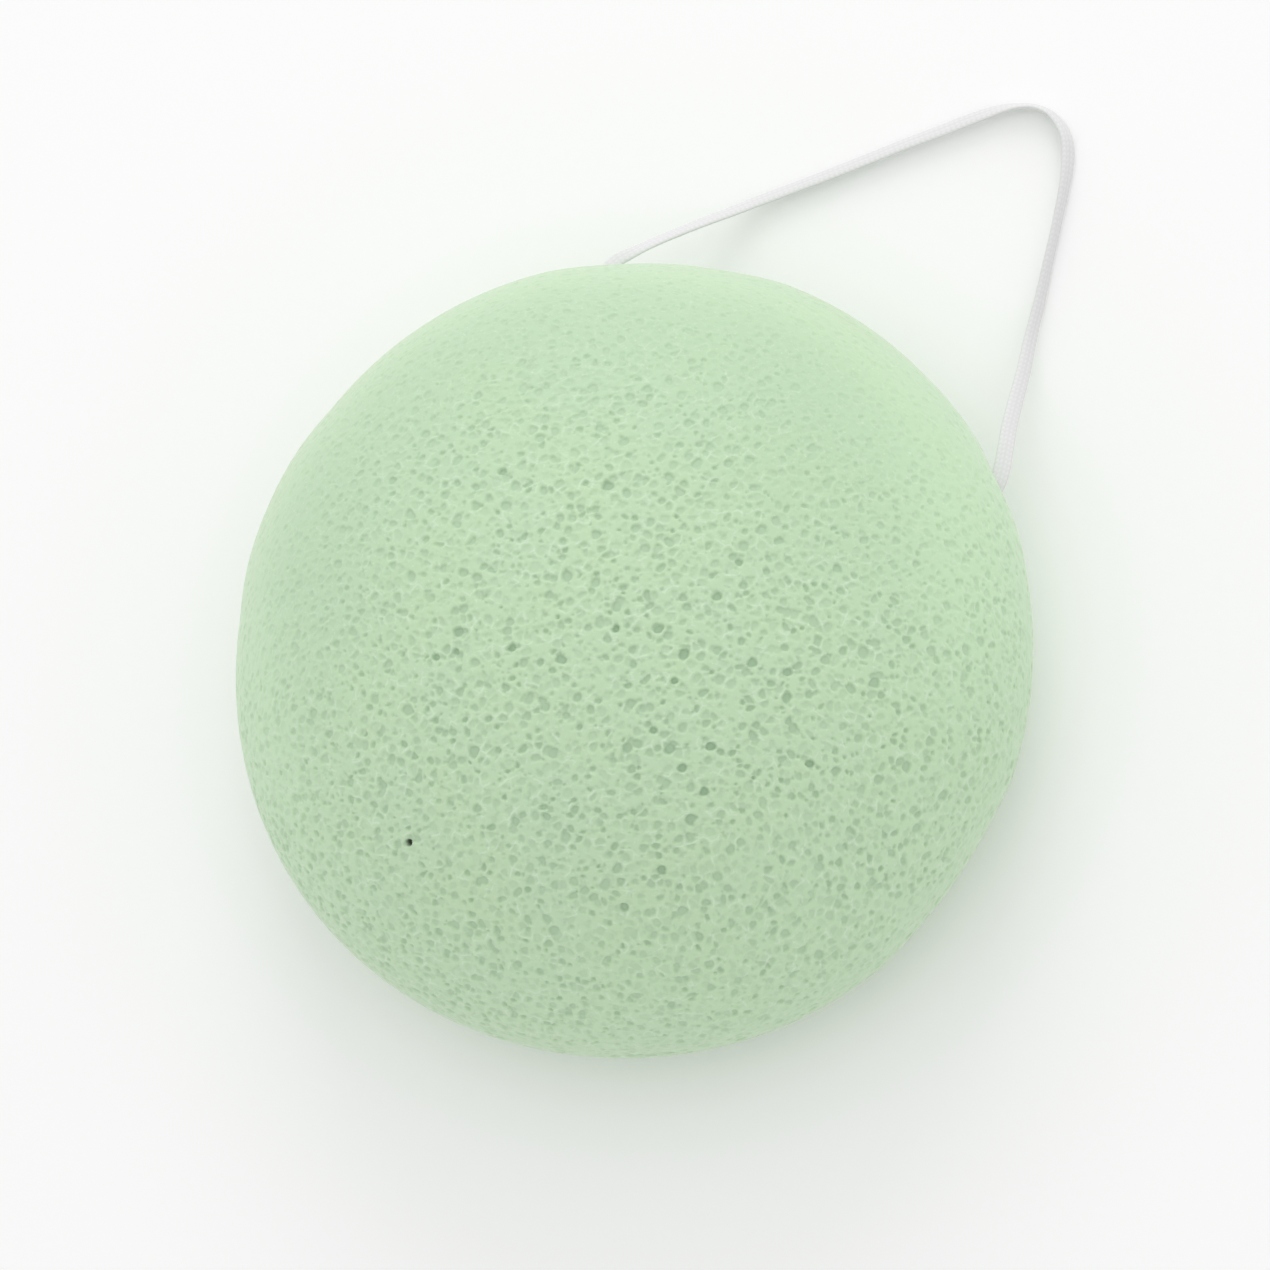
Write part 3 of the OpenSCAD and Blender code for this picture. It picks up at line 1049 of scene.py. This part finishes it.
    def knot_line(self) -> np.ndarray:
        """The knot's centreline: a trefoil, opened where the string leads in and out.

        Round an angle a, the strand is 2 + cos 3a pitches from the knot's axis, at twice the angle, and
        sin 3a pitches up, so its turns are 6 pitches across. Each lead is a cubic curve from the tape
        to where the turns start.

        Returns:
            Points along the knot.
        """
        pitch = (self.knot_size - self.knot_strand) / 6
        room = self.knot_size / 2 + self.slit_clear
        start = self.knot_start

        def turns(a: np.ndarray) -> np.ndarray:
            """Places on the trefoil, for angles in radians."""
            out = 2.0 + np.cos(3 * a)
            return pitch * np.stack([out * np.sin(2 * a), out * np.cos(2 * a) - 3.0, np.sin(3 * a)], axis=-1)

        hair = 1e-4
        slope = (turns(np.array(start + hair)) - turns(np.array(start - hair))) / (2 * hair)
        lead = np.array([[-room, 0.0, 0.0], pitch * np.array(self.knot_steer),
                         turns(np.array(start)) - self.knot_soft * slope, turns(np.array(start))])
        u = np.linspace(0.0, 1.0, CURVE_STEPS, endpoint=False)[:, None]
        first = ((1 - u) ** 3 * lead[0] + 3 * u * (1 - u) ** 2 * lead[1]
                 + 3 * u * u * (1 - u) * lead[2] + u ** 3 * lead[3])
        last = first[::-1] * [-1.0, 1.0, -1.0]
        middle = turns(np.linspace(start, 2 * math.pi - start, 4 * CURVE_STEPS))
        run_half = room + self.run_lead
        run_y = self.hinge_y - self.run_gap - (self.mouth_x - run_half)
        return np.vstack([first, middle, last]) + [0.0, run_y, self.mouth_height]

    def build_loop(self) -> bpy.types.Object:
        """Returns:
            The loop piece.
        """
        line, turn = self.loop_line()
        piece = self.tape("tape_loop", line, np.radians(turn))
        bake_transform(piece)
        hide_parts("hanging_loop")
        return piece

    def build_inside(self) -> list[bpy.types.Object]:
        """Builds the run on each side of the knot, and the knot.

        Returns:
            The two pieces.
        """
        halves = [self.run_line(mouth) for mouth in Mouth]
        solids = [self.swept(line, np.zeros(len(line))) for line in halves]
        shift = len(solids[0][0])
        points = np.vstack([solids[0][0], solids[1][0]])
        groups = solids[0][1] + [faces + shift for faces in solids[1][1]]
        run = mesh_piece("tape_inside", points, groups)
        store(run, "stitch", np.concatenate([solids[0][2], solids[1][2]]))
        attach(run, "sponge")
        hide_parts("string_run")
        line = self.knot_line()
        knot = self.tape("tape_knot", line, np.zeros(len(line)), self.knot_strand, self.knot_strand)
        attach(knot, "sponge")
        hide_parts("string_knot")
        return [run, knot]

    def tape(self, name: str, line: np.ndarray, turn: np.ndarray,
             width: float | None = None, thickness: float | None = None) -> bpy.types.Object:
        """Builds a stretch of tape as a piece, with its stitch attribute."""
        points, groups, stitch = self.swept(line, turn, width, thickness)
        piece = mesh_piece(name, points, groups)
        store(piece, "stitch", stitch)
        return piece

    @staticmethod
    def section_axes(along: np.ndarray, turn: np.ndarray) -> tuple[np.ndarray, np.ndarray]:
        """The directions of the tape's width, level where the turn is 0, and of its thickness.

        Args:
            along: Headings, one row each.
            turn: Turns about them in radians.

        Returns:
            Width directions and thickness directions, one row each.
        """
        level = unit_rows(np.cross(UP, along))
        rise = np.cross(along, level)
        cos, sin = np.cos(turn)[:, None], np.sin(turn)[:, None]
        return cos * level - sin * rise, sin * level + cos * rise

    def swept(self, line: np.ndarray, turn: np.ndarray, width: float | None = None,
              thickness: float | None = None) -> tuple[np.ndarray, list[np.ndarray], np.ndarray]:
        """Carries the tape's section, a band that thins to its edges, along a line, raised into stitches.

        A stitch is a V: a cosine of the length along the tape, less the distance from the wale's
        middle line, times a cosine across the wale that leaves a groove between two wales.

        Args:
            line: The centreline's points.
            turn: The tape's turn at each point, in radians.
            width: The section's width, the tape's own if it is None.
            thickness: Its thickness, the tape's own if it is None.

        Returns:
            Points, groups of faces, and the stitch height at each point as a share.
        """
        width, thickness = width or self.width, thickness or self.thickness
        across, face = self.section_axes(unit_rows(np.gradient(line, axis=0)), turn)
        angle = np.linspace(0.0, 2 * math.pi, self.sides, endpoint=False)
        x, y = (np.sign(wave) * np.abs(wave) ** power
                for wave, power in zip((np.cos(angle), np.sin(angle)), self.section_powers, strict=True))
        gone = np.concatenate([[0.0], np.cumsum(np.linalg.norm(np.diff(line, axis=0), axis=1))])
        wale = x * self.wales / 2
        from_middle = np.abs(wale - np.round(wale + 0.5) + 0.5)
        phase = gone[:, None] / self.stitch_length - self.stitch_slant * from_middle[None, :]
        rounded = np.cos(from_middle * math.pi * self.stitch_round)
        wave = self.stitch_mean + (1.0 - self.stitch_mean) * np.cos(2 * math.pi * phase)
        stitch = wave * rounded[None, :]
        swell = 1.0 + self.stitch_height / (thickness / 2) * (stitch - 1.0)
        half_x = (x * width / 2)[None, :, None]
        half_y = (y * thickness / 2)[None, :, None] * swell[..., None]
        rings = line[:, None, :] + half_x * across[:, None, :] + half_y * face[:, None, :]
        count, n = len(line), self.sides
        grid = np.arange(count * n).reshape(count, n)
        after = np.roll(grid, -1, axis=1)
        quads = np.stack([grid[:-1], after[:-1], after[1:], grid[1:]], axis=2).reshape(-1, 4)
        points = np.vstack([rings.reshape(-1, 3), line[0], line[-1]])
        hub = count * n
        caps = np.vstack([np.column_stack([after[0], grid[0], np.full(n, hub)]),
                          np.column_stack([grid[-1], after[-1], np.full(n, hub + 1)])])
        return points, [quads, caps], np.concatenate([stitch.ravel(), [1.0, 1.0]])


def smooth_line(knots: np.ndarray, step: float) -> np.ndarray:
    """Joins points by Catmull-Rom pieces, with half the difference of the neighbours as slope.

    Args:
        knots: The points, one row each, with any further values after the first three columns.
        step: Distance between samples along the curve.

    Returns:
        The samples, one row each, with the same columns.
    """
    slopes = np.vstack([knots[1] - knots[0], (knots[2:] - knots[:-2]) / 2, knots[-1] - knots[-2]])
    u = np.linspace(0.0, 1.0, CURVE_STEPS, endpoint=False)[None, :, None]
    a, b = knots[:-1, None, :], knots[1:, None, :]
    ta, tb = slopes[:-1, None, :], slopes[1:, None, :]
    dense = ((2 * u**3 - 3 * u**2 + 1) * a + (u**3 - 2 * u**2 + u) * ta
             + (3 * u**2 - 2 * u**3) * b + (u**3 - u**2) * tb).reshape(-1, knots.shape[1])
    dense = np.vstack([dense, knots[-1]])
    gone = np.concatenate([[0.0], np.cumsum(np.linalg.norm(np.diff(dense[:, :3], axis=0), axis=1))])
    even = np.linspace(0.0, gone[-1], max(2, round(gone[-1] / step)) + 1)
    return np.column_stack([np.interp(even, gone, column) for column in dense.T])


def main() -> None:
    """Builds the studio, the tape and the foam, and reports each piece."""
    logging.basicConfig(level=logging.INFO, format="%(name)s: %(message)s")
    Studio().build()
    _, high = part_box("sponge_body")
    run_low, run_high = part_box("string_run")
    hinge = frame["joints"][0]["pos_m"]
    tape = HangingTape(width=TAPE_WIDTH, thickness=run_high.z - run_low.z,
                       mouth_x=run_high.x - TAPE_WIDTH / 2, hinge_y=hinge[1], mouth_height=hinge[2])
    yarn = KnittedTape().material()
    strings = [tape.build_loop(), *tape.build_inside()]
    for piece in strings:
        piece.data.materials.append(yarn)
    foam = SpongeBody(rim_radius=high.x, rim_height=FOOT_RADIUS, rise=high.z - FOOT_RADIUS, tape=tape)
    sponge = foam.build()
    foam.dress(sponge)
    for piece in [*strings, sponge]:
        LOG.info("%s has %d faces", piece.name, len(piece.data.polygons))


if __name__ == "__main__":
    main()
